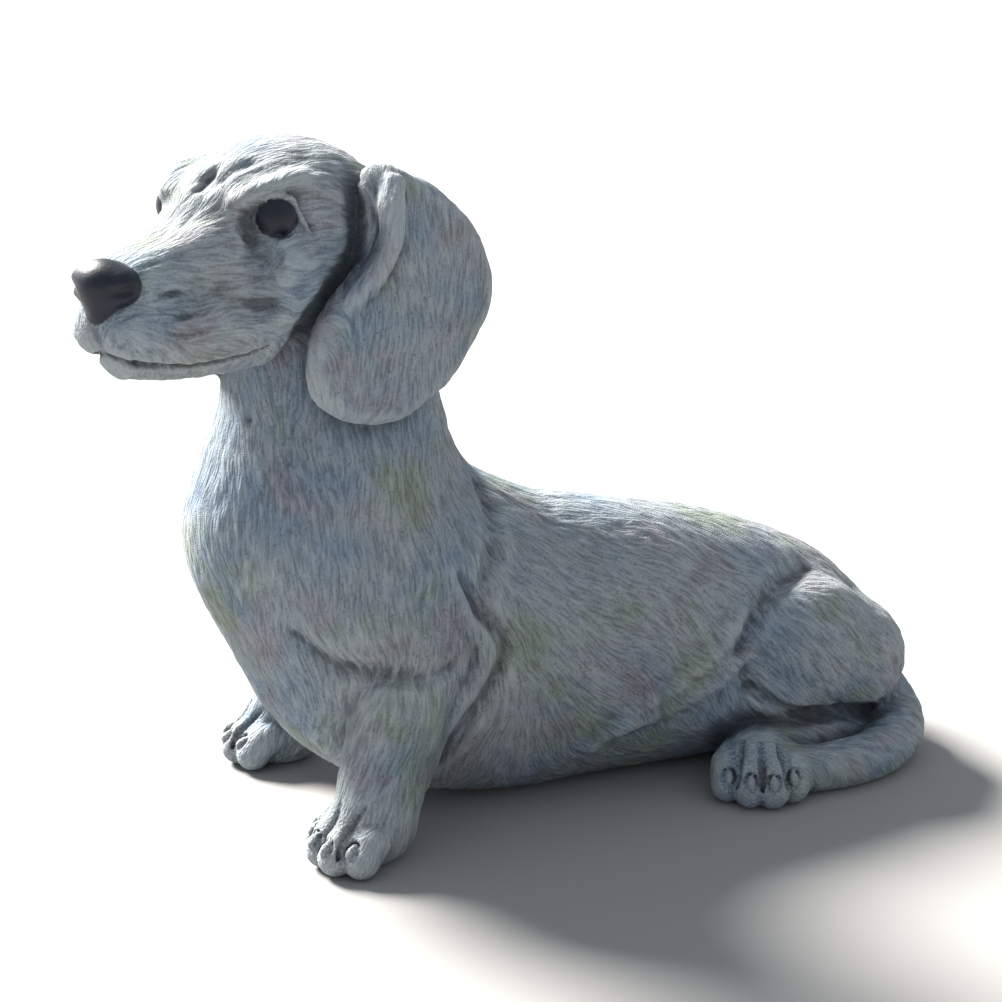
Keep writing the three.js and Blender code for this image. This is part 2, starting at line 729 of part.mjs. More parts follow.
// Takes the edges out one by one, the ones that change the form least first, until few enough
// triangles are left. Each point carries the sum of the squared distances to the planes of the
// triangles that it stands for, as the ten terms of a quadratic.
function simplify({ points, triangles }, budget) {
  const terms = points.map(() => new Float64Array(10));
  const around = points.map(() => []);
  const gone = new Uint8Array(triangles.length);
  const ages = new Int32Array(points.length);
  const seen = new Int32Array(points.length);
  let round = 0;
  const normal = new THREE.Vector3();
  const side = new THREE.Vector3();
  const face = (a, b, c) => {
    side.subVectors(c, a);
    return normal.subVectors(b, a).cross(side);
  };
  triangles.forEach((triangle, index) => {
    const [a, b, c] = triangle.map((p) => points[p]);
    const area = face(a, b, c).length();
    normal.divideScalar(Math.max(area, 1e-12));
    const { x, y, z } = normal;
    const w = -normal.dot(a);
    const square = [x * x, x * y, x * z, x * w, y * y, y * z, y * w, z * z, z * w, w * w];
    for (const p of triangle) {
      around[p].push(index);
      for (let i = 0; i < 10; i++) terms[p][i] += square[i] * area;
    }
  });
  const neighbours = (p) => {
    round += 1;
    seen[p] = round;
    const found = [];
    for (const t of around[p])
      for (const q of triangles[t])
        if (seen[q] !== round) {
          seen[q] = round;
          found.push(q);
        }
    return found;
  };
  // The best point for an edge taken out is nearest to the planes of both ends. A little of its
  // middle is mixed in, so that flat places have a best point too.
  const heap = new Heap();
  const q = new Float64Array(10);
  const consider = (a, b) => {
    for (let i = 0; i < 10; i++) q[i] = terms[a][i] + terms[b][i];
    const middle = points[a].clone().lerp(points[b], 0.5);
    const pull = 1e-3 * (q[0] + q[4] + q[7]);
    const [xx, xy, xz, yy, yz, zz] = [q[0] + pull, q[1], q[2], q[4] + pull, q[5], q[7] + pull];
    const [rx, ry, rz] = [pull * middle.x - q[3], pull * middle.y - q[6], pull * middle.z - q[8]];
    const [ax, ay, az] = [yy * zz - yz * yz, xz * yz - xy * zz, xy * yz - xz * yy];
    const [by, bz, cz] = [xx * zz - xz * xz, xy * xz - xx * yz, xx * yy - xy * xy];
    const whole = xx * ax + xy * ay + xz * az;
    const x = (ax * rx + ay * ry + az * rz) / whole;
    const y = (ay * rx + by * ry + bz * rz) / whole;
    const z = (az * rx + bz * ry + cz * rz) / whole;
    const planes =
      q[0] * x * x + q[4] * y * y + q[7] * z * z + q[9] +
      2 * (q[1] * x * y + q[2] * x * z + q[5] * y * z + q[3] * x + q[6] * y + q[8] * z);
    const cost = planes + 1e-4 * points[a].distanceToSquared(points[b]);
    heap.push([cost, a, b, ages[a], ages[b], new THREE.Vector3(x, y, z)]);
  };
  points.forEach((_, p) => neighbours(p).forEach((other) => p < other && consider(p, other)));
  const before = new THREE.Vector3();
  const flips = (p, lost, point) => {
    for (const t of around[p]) {
      const triangle = triangles[t];
      if (triangle.includes(lost)) continue;
      const [a, b, c] = triangle.map((corner) => points[corner]);
      before.copy(face(a, b, c));
      const [d, e, f] = triangle.map((corner) => (corner === p ? point : points[corner]));
      const after = face(d, e, f);
      if (before.dot(after) < 0.3 * before.length() * after.length()) return true;
    }
    return false;
  };
  let left = triangles.length;
  while (left > budget && heap.entries.length > 0) {
    const [, a, b, ageA, ageB, point] = heap.pop();
    if (ages[a] !== ageA || ages[b] !== ageB) continue;
    neighbours(a);
    const near = round;
    const shared = new Set(
      around[b].flatMap((t) => triangles[t]).filter((p) => seen[p] === near && p !== a && p !== b),
    );
    if (shared.size !== 2 || flips(a, b, point) || flips(b, a, point)) continue;
    for (let i = 0; i < 10; i++) terms[a][i] += terms[b][i];
    points[a] = point;
    for (const t of around[b]) {
      const triangle = triangles[t];
      if (triangle.includes(a)) {
        gone[t] = 1;
        left -= 1;
        for (const p of triangle) if (p !== b) around[p] = around[p].filter((s) => s !== t);
      } else {
        triangle[triangle.indexOf(b)] = a;
        around[a].push(t);
      }
    }
    ages[b] = -1;
    ages[a] += 1;
    for (const p of neighbours(a)) consider(a, p);
  }
  return { points, triangles: triangles.filter((_, t) => !gone[t]) };
}

// A geometry of the points in use, in millimetres.
function toGeometry({ points, triangles }) {
  const used = new Map();
  const positions = [];
  const index = triangles.flat().map((p) => {
    if (!used.has(p)) {
      used.set(p, used.size);
      positions.push(...points[p].toArray().map((v) => v * part));
    }
    return used.get(p);
  });
  const geometry = new THREE.BufferGeometry();
  geometry.setAttribute("position", new THREE.Float32BufferAttribute(positions, 3));
  geometry.setIndex(index);
  return geometry;
}

const wasm = await Module();
wasm.setup();

const toSolid = ({ attributes, index }) =>
  new wasm.Manifold(
    new wasm.Mesh({
      numProp: 3,
      vertProperties: Float32Array.from(attributes.position.array),
      triVerts: Uint32Array.from(index.array),
    }),
  );

function fromSolid(solid) {
  const { vertProperties, triVerts } = solid.getMesh();
  const geometry = new THREE.BufferGeometry();
  geometry.setAttribute("position", new THREE.BufferAttribute(vertProperties, 3));
  geometry.setIndex(new THREE.BufferAttribute(triVerts, 1));
  return geometry;
}

// The room that the modelling fills, down to just below the ground.
const room = new THREE.Box3();
for (const { centre, reach, carved } of statue.steps) {
  const sphere = new THREE.Sphere(new THREE.Vector3(...centre), reach);
  if (!carved) room.union(sphere.getBoundingBox(new THREE.Box3()));
}
room.expandByScalar(grain);
room.min.z = -3 * grain;
const rough = skin(sample(statue, room, grain));
const shaped = toGeometry(simplify(rough, triangleBudget));

// The soles and the belly are flat where the statue stands.
const box = new THREE.BoxGeometry(3 * height, 3 * height, height);
box.translate(0, 0, -height / 2);
box.deleteAttribute("normal");
box.deleteAttribute("uv");
const ground = mergeVertices(box);
const geometry = fromSolid(toSolid(shaped).subtract(toSolid(ground)));

geometry.computeBoundingBox();
const middle = geometry.boundingBox.getCenter(new THREE.Vector3());
geometry.translate(-middle.x, -middle.y, 0);
geometry.computeVertexNormals();

const stone = new THREE.MeshStandardMaterial({ color: "#7f8583", roughness: 0.9, metalness: 0 });
const dachshund = new THREE.Mesh(geometry, stone);
dachshund.name = "dachshund";

const group = new THREE.Group();
group.add(dachshund);

export default group;
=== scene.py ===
"""A cast-stone garden statue of a dachshund, dressed for the picture.

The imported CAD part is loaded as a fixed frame. The casting is carved again here from the same
sizes, at a finer grain, with the lids, lips, toes, nails, folds and the strokes of the coat.
"""

import json
import math

import bpy
import numpy as np
import openvdb
from mathutils import Euler, Matrix, Vector

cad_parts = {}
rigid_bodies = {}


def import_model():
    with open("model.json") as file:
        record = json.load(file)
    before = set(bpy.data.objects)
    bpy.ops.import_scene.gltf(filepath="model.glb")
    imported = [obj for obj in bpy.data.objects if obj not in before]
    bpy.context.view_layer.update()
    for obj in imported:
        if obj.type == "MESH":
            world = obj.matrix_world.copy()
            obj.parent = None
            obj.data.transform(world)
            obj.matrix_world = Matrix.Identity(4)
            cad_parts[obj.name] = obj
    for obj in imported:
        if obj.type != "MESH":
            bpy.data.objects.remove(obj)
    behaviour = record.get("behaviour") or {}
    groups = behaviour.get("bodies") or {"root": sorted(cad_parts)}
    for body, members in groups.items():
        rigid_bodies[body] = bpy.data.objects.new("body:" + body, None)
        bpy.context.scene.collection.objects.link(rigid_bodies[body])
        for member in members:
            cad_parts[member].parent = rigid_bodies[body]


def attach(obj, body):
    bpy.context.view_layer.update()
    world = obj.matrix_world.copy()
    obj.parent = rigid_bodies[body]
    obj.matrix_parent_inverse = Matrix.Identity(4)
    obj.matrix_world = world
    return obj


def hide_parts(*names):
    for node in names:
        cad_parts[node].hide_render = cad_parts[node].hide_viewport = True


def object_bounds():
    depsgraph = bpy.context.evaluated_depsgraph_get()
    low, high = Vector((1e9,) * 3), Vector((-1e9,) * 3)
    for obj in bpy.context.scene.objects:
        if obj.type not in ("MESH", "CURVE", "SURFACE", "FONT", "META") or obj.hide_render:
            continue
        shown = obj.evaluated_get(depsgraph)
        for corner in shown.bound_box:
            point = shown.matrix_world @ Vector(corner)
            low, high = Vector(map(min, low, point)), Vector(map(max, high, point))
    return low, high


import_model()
CAD_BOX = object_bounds()
NODE = "dachshund"

bl_info = {
    "name": "Dachshund garden statue",
    "version": (1, 0, 0),
    "blender": (4, 5, 0),
    "location": "View3D > Sidebar > Statue",
    "description": "Carves the fine relief of a cast dachshund and sets the stage for it",
    "category": "Object",
}

MM = 0.001
# From the model's own middle to the middle of the CAD part's box.
STATUE_SHIFT = Vector((-0.0066055, 0.0008183, 0))


def linear(hex_colour):
    """An sRGB hex colour as linear red, green, blue and alpha."""
    shares = [int(hex_colour[i : i + 2], 16) / 255 for i in (1, 3, 5)]
    return [s / 12.92 if s <= 0.04045 else ((s + 0.055) / 1.055) ** 2.4 for s in shares] + [1.0]


# Settings


class CastingSettings(bpy.types.PropertyGroup):
    """Sizes of the casting, as the CAD part names them, and of its finer relief."""

    height: bpy.props.FloatProperty(
        name="Height", description="Ground to the crown of the head", default=0.332, unit="LENGTH"
    )
    head_turn: bpy.props.FloatProperty(
        name="Head turn", description="To the dog's left", default=math.radians(34), subtype="ANGLE"
    )
    head_lift: bpy.props.FloatProperty(
        name="Head lift", description="Nose up", default=math.radians(4), subtype="ANGLE"
    )
    eye_diameter: bpy.props.FloatProperty(
        name="Eye diameter", description="The whole eyeball", default=0.021, unit="LENGTH"
    )
    eye_spacing: bpy.props.FloatProperty(
        name="Eye spacing", description="Between the eyes", default=0.060, unit="LENGTH"
    )
    nose_width: bpy.props.FloatProperty(
        name="Nose pad width", description="Across the nose pad", default=0.033, unit="LENGTH"
    )
    ear_thickness: bpy.props.FloatProperty(
        name="Ear thickness", description="Through its middle", default=0.012, unit="LENGTH"
    )
    ear_flare: bpy.props.FloatProperty(
        name="Ear flare",
        description="The ear's back edge out from the skull",
        default=math.radians(20),
        subtype="ANGLE",
    )
    paw_spacing: bpy.props.FloatProperty(
        name="Paw spacing", description="Between the forepaws", default=0.132, unit="LENGTH"
    )
    toe_width: bpy.props.FloatProperty(
        name="Toe width", description="Across one toe", default=0.017, unit="LENGTH"
    )
    tail_thickness: bpy.props.FloatProperty(
        name="Tail thickness", description="At its middle", default=0.024, unit="LENGTH"
    )
    coat_depth: bpy.props.FloatProperty(
        name="Coat depth", description="Relief of the coat's strokes", default=0.0008, unit="LENGTH"
    )
    stroke_width: bpy.props.FloatProperty(
        name="Stroke width",
        description="Across one stroke of the coat",
        default=0.0021,
        unit="LENGTH",
    )
    grain: bpy.props.FloatProperty(
        name="Grain", description="Sampling step of the carving", default=0.00125, unit="LENGTH"
    )


class FinishSettings(bpy.types.PropertyGroup):
    """Colours of the weathered casting and its painted eyes and nose."""

    stone: bpy.props.FloatVectorProperty(
        name="Stone",
        description="Bare cast stone",
        size=4,
        subtype="COLOR",
        default=linear("#858c91"),
    )
    worn: bpy.props.FloatVectorProperty(
        name="Worn stone",
        description="Crests of the relief",
        size=4,
        subtype="COLOR",
        default=linear("#a3abae"),
    )
    # This colour is both dirt and painted shade: it darkens the recesses, folds and closed-in gaps
    # where shade falls.
    grime_and_shade: bpy.props.FloatVectorProperty(
        name="Grime and shade",
        description="Dirt in the recesses",
        size=4,
        subtype="COLOR",
        default=linear("#2c3036"),
    )
    blue: bpy.props.FloatVectorProperty(
        name="Blue tint",
        description="Cool patches of the stone",
        size=4,
        subtype="COLOR",
        default=linear("#6c7c8d"),
    )
    moss: bpy.props.FloatVectorProperty(
        name="Moss", description="Green film", size=4, subtype="COLOR", default=linear("#727d69")
    )
    umber: bpy.props.FloatVectorProperty(
        name="Umber",
        description="Purple-brown stain",
        size=4,
        subtype="COLOR",
        default=linear("#78717a"),
    )
    paint: bpy.props.FloatVectorProperty(
        name="Paint",
        description="Eyes and nose",
        size=4,
        subtype="COLOR",
        default=linear("#0c1424"),
    )


# Shapes. Each is a distance to its skin, negative inside, with a centre and a reach round it.


class Shape:
    """A body to add or carve: its distance function, and a ball that holds it."""

    def __init__(self, distance, centre, reach):
        self.distance = distance
        self.centre = np.array(centre, float)
        self.reach = reach

    def placed(self, place):
        """The same shape laid in another frame, given as a 4 by 4 matrix."""
        turn = np.array(place.to_3x3())
        move = np.array(place.translation)
        centre = turn @ self.centre + move
        return Shape(lambda p: self.distance((p - move) @ turn), centre, self.reach)


def rows_length(rows):
    """The length of each row."""
    return np.sqrt(np.einsum("ij,ij->i", rows, rows))


def turned(x, y, z):
    """A turn in degrees about x, y and z."""
    return Euler([math.radians(a) for a in (x, y, z)], "XYZ").to_matrix()


def ball(centre, radii, turn=None):
    """An ellipsoid, of which turn gives the direction of its own axes."""
    middle = np.array(centre, float)
    size = np.array(radii, float)
    own = np.eye(3) if turn is None else np.array(turn)

    def distance(p):
        q = (p - middle) @ own
        k0 = rows_length(q / size)
        k1 = rows_length(q / (size * size))
        return k0 * (k0 - 1) / np.maximum(k1, 1e-9)

    return Shape(distance, centre, size.max())


def smooth_path(knots, steps_per_knot):
    """Points of the smooth curve through knots."""
    k = np.array(knots, float)
    k = np.vstack([2 * k[0] - k[1], k, 2 * k[-1] - k[-2]])
    points = []
    for before, start, end, after in zip(k, k[1:], k[2:], k[3:]):
        for step in range(steps_per_knot):
            t = step / steps_per_knot
            leave, arrive = (end - before) / 2, (after - start) / 2
            bend = 3 * (end - start) - 2 * leave - arrive
            settle = 2 * (start - end) + leave + arrive
            points.append(start + t * (leave + t * (bend + t * settle)))
    points.append(k[-2])
    return np.array(points)


def limb(knots, steps_per_knot=3):
    """A limb through knots (x, y, z, radius, fullness), where fullness is its width in y."""
    full = [tuple(knot) if len(knot) == 5 else (*knot, 1.0) for knot in knots]
    balls = smooth_path(full, steps_per_knot)

    def distance(p):
        nearest = np.full(len(p), np.inf)
        for a, b in zip(balls, balls[1:]):
            along = b[:3] - a[:3]
            t = np.clip((p - a[:3]) @ along / (along @ along), 0, 1)
            q = p - a[:3] - t[:, None] * along
            fullness = a[4] + (b[4] - a[4]) * t
            q[:, 1] /= fullness
            size = rows_length(q)
            q[:, 1] /= fullness
            slope = rows_length(q) / np.maximum(size, 1e-9)
            d = (size - a[3] - (b[3] - a[3]) * t) / np.maximum(slope, 1e-9)
            np.minimum(nearest, d, out=nearest)
        return nearest

    pad = (balls[:, 3] * np.maximum(1, balls[:, 4]))[:, None]
    low = (balls[:, :3] - pad).min(0)
    high = (balls[:, :3] + pad).max(0)
    return Shape(distance, (low + high) / 2, np.linalg.norm(high - low) / 2)


def closed_curve(points, steps_per_point):
    """A smooth closed curve through points of a plane."""
    k = np.array(points, float)
    curve = []
    for before, start, end, after in zip(np.roll(k, 1, 0), k, np.roll(k, -1, 0), np.roll(k, -2, 0)):
        for step in range(steps_per_point):
            t = step / steps_per_point
            leave, arrive = (end - before) / 2, (after - start) / 2
            bend = 3 * (end - start) - 2 * leave - arrive
            settle = 2 * (start - end) + leave + arrive
            curve.append(start + t * (leave + t * (bend + t * settle)))
    return np.array(curve)


def leaf(outline, half_thickness, side):
    """A thick leaf in the x-z plane with a rounded rim, bowed so that its rim leans inwards."""
    curve = closed_curve(outline, 3)
    bow = 7.0
    middle = curve.mean(0)
    radius = np.abs(curve - middle).max(0)

    def distance(p):
        flat = p[:, (0, 2)]
        nearest = np.full(len(p), np.inf)
        within = np.zeros(len(p), bool)
        for a, b in zip(curve, np.roll(curve, -1, 0)):
            edge = b - a
            q = flat - a
            t = np.clip(q @ edge / (edge @ edge), 0, 1)
            nearest = np.minimum(nearest, ((q - t[:, None] * edge) ** 2).sum(1))
            rises = (a[1] > flat[:, 1]) != (b[1] > flat[:, 1])
            within ^= rises & (q[:, 0] < edge[0] * q[:, 1] / (edge[1] if edge[1] else 1e-9))
        across = np.where(within, -1, 1) * np.sqrt(nearest)
        spread = (((flat - middle) / radius) ** 2).sum(1)
        through = np.abs(p[:, 1] + side * bow * np.minimum(spread, 1.6))
        rim = half_thickness * 0.98
        out = np.maximum(across + rim, 0), np.maximum(through - half_thickness + rim, 0)
        inside = np.minimum(np.maximum(across + rim, through - half_thickness + rim), 0)
        return 0.9 * (np.hypot(*out) + inside - rim)

    centre = (middle[0], 0, middle[1])
    return Shape(distance, centre, np.linalg.norm(radius) + half_thickness + bow)


def join(a, b, blend):
    """Two distances made one, with the seam filled over a width of blend."""
    h = np.maximum(blend - np.abs(a - b), 0) / blend
    return np.minimum(a, b) - h * h * blend * 0.25


class Carving:
    """The steps of the modelling in order, in parts of which the height has 332."""

    def __init__(self):
        self.steps = []

    def add(self, shape, blend):
        self.steps.append((shape, blend, False))

    def carve(self, shape, blend):
        self.steps.append((shape, blend, True))

    def distance(self, p):
        """The distance from the skin at points p."""
        d = np.full(len(p), 1e3)
        for shape, blend, carved in self.steps:
            room = rows_length(p - shape.centre) - shape.reach - blend
            near = np.nonzero(room <= np.abs(d))[0]
            if len(near) == 0:
                continue
            one = shape.distance(p[near])
            d[near] = -join(-d[near], one, blend) if carved else join(d[near], one, blend)
        return d

    def skin_from(self, starts, direction):
        """The points of the skin first met from starts along a direction."""
        p = np.array(starts, float)
        for _ in range(40):
            p += 0.85 * self.distance(p)[:, None] * direction
        return p

    def normals(self, p, step=0.6):
        """Directions straight out of the skin at points p."""
        gradient = np.empty_like(p)
        for axis in range(3):
            offset = np.zeros(3)
            offset[axis] = step
            gradient[:, axis] = self.distance(p + offset) - self.distance(p - offset)
        return gradient / np.maximum(rows_length(gradient), 1e-9)[:, None]


def tapered(points, radius, taper):
    """A limb of one radius through points, with thinner ends."""
    ends = (0, len(points) - 1)
    return limb([(*p, radius * taper if i in ends else radius) for i, p in enumerate(points)])


def skin_line(carving, points, side, radius, sink=0.0):
    """A line along the skin of one side through points (x, z), for a fold or crease."""
    well_outside = 130
    inwards = np.array((0.0, -side, 0.0))
    starts = [(x, side * well_outside, z) for x, z in points]
    met = carving.skin_from(starts, inwards) + sink * inwards
    return tapered(met, radius, 0.35)


class Dachshund:
    """The statue's form, step by step, with the places that the paint and the coat follow."""

    def __init__(self, sizes):
        self.part = sizes.height / 332
        self.eye = sizes.eye_diameter / 2 / self.part
        self.eye_side = sizes.eye_spacing / 2 / self.part
        self.nose = sizes.nose_width / 2 / self.part
        self.ear = sizes.ear_thickness / 2 / self.part
        self.paw_side = sizes.paw_spacing / 2 / self.part
        self.toe = sizes.toe_width / 2 / self.part
        self.tail = sizes.tail_thickness / 2 / self.part
        self.ear_flare = sizes.ear_flare
        self.nose_tip = Vector((-211, -90, 287))
        self.head = (
            Matrix.Translation(self.nose_tip)
            @ Matrix.Rotation(sizes.head_turn, 4, "Z")
            @ Matrix.Rotation(sizes.head_lift, 4, "Y")
        )
        self.carving = Carving()
        self.painted = []
        self.eyes = []
        self.paws = []
        self.model_trunk()
        for side in (-1, 1):
            self.model_foreleg(side)
            self.model_hind_leg(side)
        self.model_folds(-1)
        self.model_folds(1)
        self.model_tail()
        self.model_head()
        self.model_ear(-1)
        self.model_ear(1)
        for x, y, z, radius in PITS:
            self.carving.carve(ball((x, y, z), (radius,) * 3), 0.8)
        for x, y, z, radius in WHISKER_PITS:
            self.off_head(ball((x, y, z), (radius,) * 3), 0.8)

    def add(self, shape, blend):
        self.carving.add(shape, blend)

    def on_head(self, shape, blend):
        self.carving.add(shape.placed(self.head), blend)

    def off_head(self, shape, blend):
        self.carving.carve(shape.placed(self.head), blend)

    def model_trunk(self):
        """The trunk, its belly on the ground, and the neck."""
        trunk = [
            (-84, 0, 143, 61, 0.88),
            (-54, 0, 85, 66, 0.9),
            (0, 0, 75, 75.7, 0.75),
            (43, 0, 71, 71.8, 0.78),
            (87, 0, 66.4, 67.2, 0.82),
            (121, 0, 61, 61.8, 0.9),
            (148, 0, 55, 55.8, 1),
            (164, 0, 49, 49.8, 1.06),
        ]
        self.add(limb(trunk, 5), 1)
        self.add(ball((-34, 0, 118), (58, 53, 52), turned(0, 18, 0)), 16)
        neck = [
            (-84, 0, 146, 59, 0.86),
            (-80, -2, 190, 54, 0.86),
            (-85, -6, 228, 43, 0.94),
            (-82, -10, 262, 42.5, 0.97),
        ]
        self.add(limb(neck), 24)

    def model_foreleg(self, side):
        """One foreleg: the upper arm hangs over the forearm, which stands out to the side."""
        paw_middle = 4
        self.add(ball((-58, side * 38, 118), (41, 25, 37), turned(0, 22, 0)), 14)
        self.add(ball((-72, side * 40, 108), (28, 22, 21), turned(0, 12, 0)), 8)
        forearm = [
            (-56, side * 44, 88, 24, 0.85),
            (-66, side * 53, 66, 23, 0.82),
            (-74, paw_middle + side * 59, 44, 21.5, 0.86),
            (-82, paw_middle + side * self.paw_side, 24, 20, 0.95),
        ]
        self.add(limb(forearm), 4)
        self.model_paw((-88, paw_middle + side * self.paw_side, 0), 196 if side < 0 else 165)

    def model_paw(self, place, heading):
        """A paw, in its own frame: origin on the ground under it, x towards the toes."""
        where = Matrix.Translation(place) @ Matrix.Rotation(math.radians(heading), 4, "Z")
        self.paws.append(where)
        toe = self.toe
        self.add(ball((-2, 0, 14), (23, 2.2 * toe, 17)).placed(where), 6)
        for across, forward in TOES:
            knots = [
                (-6, across * 0.75 * toe, 18, toe * 0.85),
                (forward - 7, across * toe, 16, toe * 1.02),
                (forward, across * 1.05 * toe, TOE_HEIGHT, toe),
            ]
            self.add(limb(knots).placed(where), 1.2)
        for one, other in zip(TOES, TOES[1:]):
            across = (one[0] + other[0]) / 2 * toe
            forward = (one[1] + other[1]) / 2
            groove = [
                (forward - 12, across * 0.9, 30),
                (forward - 4, across, 25),
                (forward + 4, across, 15),
                (forward + 6, across, 4),
            ]
            self.carving.carve(self.laid(groove, 1.4, sink=0.8, place=where), 1.8)
        for across, forward in TOES:
            self.model_nail(where, across * 1.05 * toe, forward)

    def model_nail(self, paw, across, forward):
        """A nail, an oval on the upper front of its toe with a groove round it."""
        slope = turned(0, 36, 0)
        height = TOE_HEIGHT + 0.75 * self.toe
        bed = ball((forward + 0.66 * self.toe, across, height), (5.6, 3.9, 2.2), slope)
        self.carving.carve(bed.placed(paw), 1)
        nail = ball((forward + 0.60 * self.toe, across, height - 0.4), (4.3, 2.3, 2.6), slope)
        self.add(nail.placed(paw), 0.4)

    def model_hind_leg(self, side):
        """One hind leg, folded under: thigh, buttock, shank, and the foot out to the side."""
        self.add(ball((156, side * 36, 62), (41, 29, 36), turned(0, 10, 0)), 5)
        self.add(ball((186, side * 28, 50), (31, 32, 31)), 6)
        self.add(ball((138, side * 40, 44), (24, 21, 16)), 5)
        shank = [(176, side * 40, 16, 15), (150, side * 46, 15, 15), (126, side * 54, 14, 15)]
        self.add(limb(shank), 5)
        self.model_paw((117, side * 65, 0), -114 if side < 0 else 114)

    def model_tail(self):
        """The tail, from the rump round to the left and forward, always against the shank."""
        r = self.tail
        tail = [
            (192, 8 - r, 38, r * 1.6),
            (209, -12 - r, r * 2, r * 1.4),
            (207, -36 - r, r * 1.25, r * 1.2),
            (188, -54 - r, r - 1, r * 1.05),
            (162, -62 - r, r - 1, r),
            (143, -62 - r, r - 1, r * 0.95),
        ]
        self.add(limb(tail), 9)

    def model_head(self):
        """Skull, muzzle, jaw, lips, brows, eyes and nose, in the head's own frame."""
        self.on_head(ball((124, 0, 13), (52, 43, 39)), 22)
        self.on_head(ball((92, 0, 14), (30, 31, 26)), 12)
        for side in (-1, 1):
            bridge = [
                (24, side * 6.5, -5, 12.5),
                (40, side * 7.5, -2, 14),
                (60, side * 8.5, 2.5, 15.5),
                (84, side * 11, 7.5, 18),
            ]
            self.on_head(limb(bridge), 7)
        jaw = [(24, 0, -35.5, 8, 1.15), (55, 0, -37, 10.5, 1.4), (92, 0, -29, 19, 1.4)]
        self.on_head(limb(jaw), 3)
        for side in (-1, 1):
            lips = [(19, side * 7, -22, 12.5), (42, side * 11, -24, 15.5), (70, side * 15, -22, 17)]
            self.on_head(limb(lips), 8)
            self.on_head(ball((96, side * 20, -8), (30, 19, 26)), 12)
            self.on_head(ball((91, side * 32, 3), (15, 8, 8), turned(0, -20, 0)), 9)
            self.on_head(ball((89, side * 35, 5), (9, 6, 5.5)), 6)
            self.off_head(ball((66, side * 34.5, -13), (14, 6.5, 5.5), turned(0, 10, 0)), 9)
            self.off_head(ball((74, side * 26, 20), (4.5, 5.5, 11)), 7)
            self.off_head(ball((72.5, side * 33.5, 5), (5, 4.5, 8)), 9)
            self.model_eye(side)
        self.model_nose()
        self.model_mouth()
        self.off_head(ball((75, 0, 36.5), (9.5, 2.8, 3.8), turned(0, -37, 0)), 2.5)
        self.carving.carve(self.laid(FURROW, 1.6, sink=0.3), 4)

    def model_nose(self):
        """The nose pad, broad above and narrow below, with a nostril at each side."""
        wide = self.nose - 8
        pad = Carving()
        pad.add(limb([(12.5, -wide, -3.5, 8), (11, 0, -2.5, 8.5), (12.5, wide, -3.5, 8)]), 1)
        pad.add(limb([(12, 0, -4, 10), (12.5, 0, -13.5, 7.8)]), 5)
        for side in (-1, 1):
            nostril = [
                (4, side * (wide + 0.5), -6, 1),
                (6, side * (wide + 4), -5, 2),
                (12, side * (wide + 8.5), -3.5, 1.4),
            ]
            pad.carve(limb(nostril), 2)
        whole = Shape(pad.distance, (12.5, 0, -7), 14 + self.nose).placed(self.head)
        self.add(whole, 1.2)
        self.painted.append(whole)
        self.nose_pad = whole

    def model_mouth(self):
        """The line between the lips, the cleft under the nose and the grooves of the whiskers."""
        self.carving.carve(self.laid([(3, 0, -21), (6, 0, -26), (10, 0, -32)], 1.5, sink=0.4), 2.5)
        for side in (-1, 1):
            line = [(x, side * y, z) for x, y, z in MOUTH]
            self.carving.carve(self.laid(line, 2.0, sink=1.3, taper=0.6), 1.8)
            for groove in WHISKERS:
                beside = [(x, side * 24, z) for x, z in groove]
                self.carving.carve(self.laid(beside, 1.1, sink=0.6), 1.2)

    def laid(self, points, radius, sink=0.0, taper=0.35, place=None):
        """A line through points of the head's or another frame, laid onto the skin nearest them."""
        where = self.head if place is None else place
        on_skin = np.array([where @ Vector(point) for point in points])
        for _ in range(12):
            out = self.carving.normals(on_skin)
            on_skin -= 0.9 * self.carving.distance(on_skin)[:, None] * out
        return tapered(on_skin - sink * out, radius, taper)

    def model_eye(self, side):
        """The brow, the eyeball, and the lids that run round it."""
        brow = [
            (72, side * 20, 28, 3),
            (83, side * 26, 33, 4),
            (99, side * 30.5, 35.5, 5),
            (116, side * 33, 28, 3.5),
        ]
        self.on_head(limb(brow), 7)
        middle = Vector((87.5, side * (self.eye_side - 4.5), 21))
        gaze = Vector((-0.75, side, 0.03)).normalized()
        socket = ball(middle + gaze * 0.85 * self.eye, (0.82 * self.eye,) * 3)
        self.off_head(socket, 1.5)
        eyeball = ball(middle, (self.eye,) * 3).placed(self.head)
        self.carving.add(eyeball, 0.4)
        self.painted.append(eyeball)
        self.eyes.append((eyeball, np.array(self.head @ (middle + self.eye * gaze))))
        lid = [(*(middle + self.eye * Vector((x, side * y, z))), r) for x, y, z, r in UPPER_LID]
        self.on_head(limb(lid, 3), 1.0)
        crease = [middle + self.eye * Vector((x, side * y, z)) for x, y, z in LID_CREASE]
        self.carving.carve(self.laid(crease, 1.2, sink=0.3, taper=0.3), 1.6)

